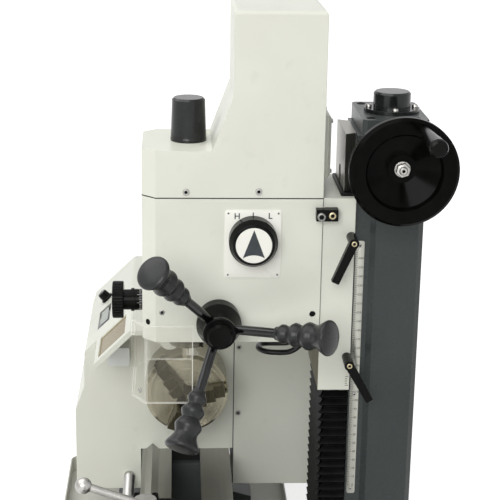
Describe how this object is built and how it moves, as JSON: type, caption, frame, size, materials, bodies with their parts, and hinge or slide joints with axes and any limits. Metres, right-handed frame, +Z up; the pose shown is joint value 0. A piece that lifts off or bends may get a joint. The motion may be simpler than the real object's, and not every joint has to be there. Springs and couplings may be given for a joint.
{
  "type": "combination bench lathe and mill",
  "caption": "Bench lathe with a dovetail column and milling head behind its bed, with chuck, carriage, tool post and tailstock on the ways.",
  "frame": {"origin": "centre of the bench bolt pattern, on the bench", "axes": "+X from the headstock to the tailstock, -Y towards the operator, +Z up"},
  "size_m": [1.0414, 0.4459, 0.738],
  "materials": {
    "ivory_paint": "satin",
    "grey_paint": "satin",
    "ground_iron": "ground",
    "steel": "turned",
    "blackened_steel": "oiled black",
    "black_plastic": "gloss",
    "black_iron": "gloss",
    "black_rubber": "matt",
    "clear_sheet": "polished",
    "amber_sheet": "polished",
    "motor_case": "satin"
  },
  "bodies": {
    "frame": {"chip_tray": "grey_paint", "bed": "grey_paint", "headstock": "ivory_paint", "motor_housing": "ivory_paint", "gear_cover": "ivory_paint", "spindle_bearings": "steel", "drive_belt": "black_rubber", "column_bracket": "grey_paint", "column": "grey_paint", "column_cap": "grey_paint", "lift_bearing_cap": "black_plastic", "bellows": "black_rubber"},
    "spindle": {"lathe_spindle": "steel", "spindle_pulley": "steel", "chuck_body": "steel"},
    "jaw_1": {"chuck_jaw_1": "steel"},
    "jaw_2": {"chuck_jaw_2": "steel"},
    "jaw_3": {"chuck_jaw_3": "steel"},
    "motor_shaft": {"motor_pulley": "steel"},
    "chuck_guard": {"chuck_guard": "ivory_paint", "chuck_guard_window": "amber_sheet"},
    "speed_knob": {"speed_knob": "black_plastic"},
    "leadscrew": {"leadscrew": "steel"},
    "carriage": {"carriage": "ground_iron", "apron": "ivory_paint"},
    "apron_wheel": {"apron_wheel": "black_iron"},
    "half_nut_lever": {"half_nut_lever": "steel"},
    "cross_slide": {"cross_slide": "ground_iron"},
    "cross_crank": {"cross_feed_crank": "steel"},
    "compound": {"compound_base": "ground_iron"},
    "top_slide": {"top_slide": "ground_iron"},
    "top_crank": {"top_slide_crank": "steel"},
    "tool_post": {"tool_post": "blackened_steel"},
    "tool_lever": {"tool_post_lever": "steel"},
    "tailstock": {"tailstock": "ivory_paint"},
    "tail_quill": {"tailstock_quill": "steel"},
    "tail_wheel": {"tailstock_wheel": "black_iron"},
    "tail_lever": {"tailstock_lever": "steel"},
    "saddle": {"mill_saddle": "ivory_paint", "tilt_stop": "blackened_steel"},
    "clamp_upper": {"clamp_lever_upper": "blackened_steel"},
    "clamp_lower": {"clamp_lever_lower": "blackened_steel"},
    "head": {"mill_head": "ivory_paint", "head_cover": "ivory_paint", "mill_motor": "motor_case", "drawbar_cap": "black_plastic", "feed_flange": "blackened_steel", "head_cable": "black_rubber", "cable_glands": "black_plastic"},
    "gear_knob": {"gear_knob": "black_plastic"},
    "capstan": {"capstan_hub": "blackened_steel", "capstan_rods": "blackened_steel", "capstan_grips": "black_rubber"},
    "fine_knob": {"fine_feed_knob": "blackened_steel"},
    "mill_quill": {"mill_quill": "steel"},
    "mill_spindle": {"mill_spindle": "steel"},
    "mill_guard": {"mill_guard": "clear_sheet"},
    "lift_screw": {"lift_screw": "steel"},
    "lift_wheel": {"lift_wheel": "black_iron"},
    "lift_handle": {"lift_handle": "black_plastic"}
  },
  "joints": [
    {"name": "spindle_turn", "type": "hinge", "parent": "frame", "child": "spindle", "pos_m": [-0.212, 0, 0.255], "axis": [1, 0, 0], "continuous": true},
    {"name": "jaw_1_slide", "type": "slide", "parent": "spindle", "child": "jaw_1", "axis": [0, -0.9848, -0.1736], "range_m": [-0.006, 0.009]},
    {"name": "jaw_2_slide", "type": "slide", "parent": "spindle", "child": "jaw_2", "axis": [0, 0.6428, -0.766], "range_m": [-0.006, 0.009]},
    {"name": "jaw_3_slide", "type": "slide", "parent": "spindle", "child": "jaw_3", "axis": [0, 0.342, 0.9397], "range_m": [-0.006, 0.009]},
    {"name": "motor_pulley_turn", "type": "hinge", "parent": "frame", "child": "motor_shaft", "pos_m": [-0.489, 0.105, 0.205], "axis": [1, 0, 0], "continuous": true},
    {"name": "chuck_guard_swing", "type": "hinge", "parent": "frame", "child": "chuck_guard", "pos_m": [-0.217, -0.02, 0.331], "axis": [-1, 0, 0], "range_deg": [0, 95]},
    {"name": "speed_knob_turn", "type": "hinge", "parent": "frame", "child": "speed_knob", "pos_m": [-0.394, -0.10349, 0.30434], "axis": [0, -0.6982, 0.7159], "range_deg": [0, 270]},
    {"name": "leadscrew_turn", "type": "hinge", "parent": "frame", "child": "leadscrew", "pos_m": [0, -0.072, 0.112], "axis": [1, 0, 0], "continuous": true},
    {"name": "carriage_slide", "type": "slide", "parent": "frame", "child": "carriage", "axis": [-1, 0, 0], "range_m": [0, 0.264]},
    {"name": "apron_wheel_turn", "type": "hinge", "parent": "carriage", "child": "apron_wheel", "pos_m": [0.15, -0.12, 0.1], "axis": [0, -1, 0], "range_deg": [0, 3961]},
    {"name": "half_nut_swing", "type": "hinge", "parent": "carriage", "child": "half_nut_lever", "pos_m": [0.23, -0.112, 0.112], "axis": [0, 1, 0], "range_deg": [0, 40]},
    {"name": "cross_slide_travel", "type": "slide", "parent": "carriage", "child": "cross_slide", "axis": [0, 1, 0], "range_m": [-0.06, 0.02]},
    {"name": "cross_crank_turn", "type": "hinge", "parent": "cross_slide", "child": "cross_crank", "pos_m": [0.195, -0.13, 0.195], "axis": [0, 1, 0], "range_deg": [-10801, 3601]},
    {"name": "compound_swivel", "type": "hinge", "parent": "cross_slide", "child": "compound", "pos_m": [0.195, -0.042, 0.211], "axis": [0, 0, 1], "range_deg": [-60, 60]},
    {"name": "top_slide_travel", "type": "slide", "parent": "compound", "child": "top_slide", "axis": [-1, 0, 0], "range_m": [-0.01, 0.04]},
    {"name": "top_crank_turn", "type": "hinge", "parent": "top_slide", "child": "top_crank", "pos_m": [0.245, -0.042, 0.23], "axis": [-1, 0, 0], "range_deg": [-1801, 7201]},
    {"name": "tool_post_index", "type": "hinge", "parent": "top_slide", "child": "tool_post", "pos_m": [0.173, -0.042, 0.26], "axis": [0, 0, 1], "continuous": true},
    {"name": "tool_lever_swing", "type": "hinge", "parent": "tool_post", "child": "tool_lever", "pos_m": [0.173, -0.042, 0.29], "axis": [0, 0, 1], "range_deg": [-60, 60]},
    {"name": "tailstock_slide", "type": "slide", "parent": "frame", "child": "tailstock", "axis": [-1, 0, 0], "range_m": [-0.005, 0.06]},
    {"name": "tailstock_quill_travel", "type": "slide", "parent": "tailstock", "child": "tail_quill", "axis": [-1, 0, 0], "range_m": [0, 0.06]},
    {"name": "tailstock_wheel_turn", "type": "hinge", "parent": "tailstock", "child": "tail_wheel", "pos_m": [0.48, 0, 0.255], "axis": [-1, 0, 0], "range_deg": [0, 10801]},
    {"name": "tailstock_lever_swing", "type": "hinge", "parent": "tailstock", "child": "tail_lever", "pos_m": [0.40333, 0, 0.29], "axis": [0, 0, 1], "range_deg": [-60, 60]},
    {"name": "saddle_lift", "type": "slide", "parent": "frame", "child": "saddle", "axis": [0, 0, 1], "range_m": [-0.12, 0.05], "deforming": ["bellows"]},
    {"name": "lift_wheel_turn", "type": "hinge", "parent": "frame", "child": "lift_wheel", "pos_m": [0.04, 0.212, 0.587], "axis": [1, 0, 0], "range_deg": [-10801, 4501]},
    {"name": "lift_screw_turn", "type": "hinge", "parent": "frame", "child": "lift_screw", "pos_m": [-0.05, 0.212, 0.4], "axis": [0, 0, 1], "range_deg": [-10801, 4501]},
    {"name": "lift_handle_spin", "type": "hinge", "parent": "lift_wheel", "child": "lift_handle", "pos_m": [0.095, 0.22886, 0.6298], "axis": [1, 0, 0], "continuous": true},
    {"name": "clamp_upper_swing", "type": "hinge", "parent": "saddle", "child": "clamp_upper", "pos_m": [0.016, 0.1678, 0.5073], "axis": [1, 0, 0], "range_deg": [-50, 50]},
    {"name": "clamp_lower_swing", "type": "hinge", "parent": "saddle", "child": "clamp_lower", "pos_m": [0.016, 0.1678, 0.3746], "axis": [1, 0, 0], "range_deg": [-50, 50]},
    {"name": "head_tilt", "type": "hinge", "parent": "saddle", "child": "head", "pos_m": [-0.05, 0.138, 0.46], "axis": [0, 1, 0], "range_deg": [-45, 0]},
    {"name": "gear_knob_turn", "type": "hinge", "parent": "head", "child": "gear_knob", "pos_m": [0.016, 0.066, 0.505], "axis": [1, 0, 0], "range_deg": [-45, 45]},
    {"name": "capstan_turn", "type": "hinge", "parent": "head", "child": "capstan", "pos_m": [0.025, 0.0316, 0.417], "axis": [1, 0, 0], "range_deg": [0, 190], "stiffness_Nm_per_rad": 0.35, "springref_deg": -114.59},
    {"name": "mill_quill_travel", "type": "slide", "parent": "head", "child": "mill_quill", "axis": [0, 0, -1], "range_m": [0, 0.0501]},
    {"name": "mill_spindle_turn", "type": "hinge", "parent": "mill_quill", "child": "mill_spindle", "pos_m": [-0.05, 0, 0.44], "axis": [0, 0, 1], "continuous": true},
    {"name": "fine_feed_turn", "type": "hinge", "parent": "head", "child": "fine_knob", "pos_m": [-0.05, -0.06, 0.421], "axis": [0, 1, 0], "continuous": true},
    {"name": "mill_guard_swing", "type": "hinge", "parent": "head", "child": "mill_guard", "pos_m": [-0.119, 0.006, 0.37], "axis": [0, 0, -1], "range_deg": [0, 57]}
  ],
  "couplings": [
    {"joint": "jaw_2_slide", "follows": "jaw_1_slide", "ratio": 1},
    {"joint": "jaw_3_slide", "follows": "jaw_1_slide", "ratio": 1},
    {"joint": "motor_pulley_turn", "follows": "spindle_turn", "ratio": 2.3},
    {"joint": "apron_wheel_turn", "follows": "carriage_slide", "rad_per_m": 261.8},
    {"joint": "cross_crank_turn", "follows": "cross_slide_travel", "rad_per_m": 3141.6},
    {"joint": "top_crank_turn", "follows": "top_slide_travel", "rad_per_m": 3141.6},
    {"joint": "tailstock_wheel_turn", "follows": "tailstock_quill_travel", "rad_per_m": 3141.6},
    {"joint": "lift_wheel_turn", "follows": "saddle_lift", "rad_per_m": 1570.8},
    {"joint": "lift_screw_turn", "follows": "saddle_lift", "rad_per_m": 1570.8},
    {"joint": "mill_quill_travel", "follows": "capstan_turn", "m_per_rad": 0.015078}
  ]
}
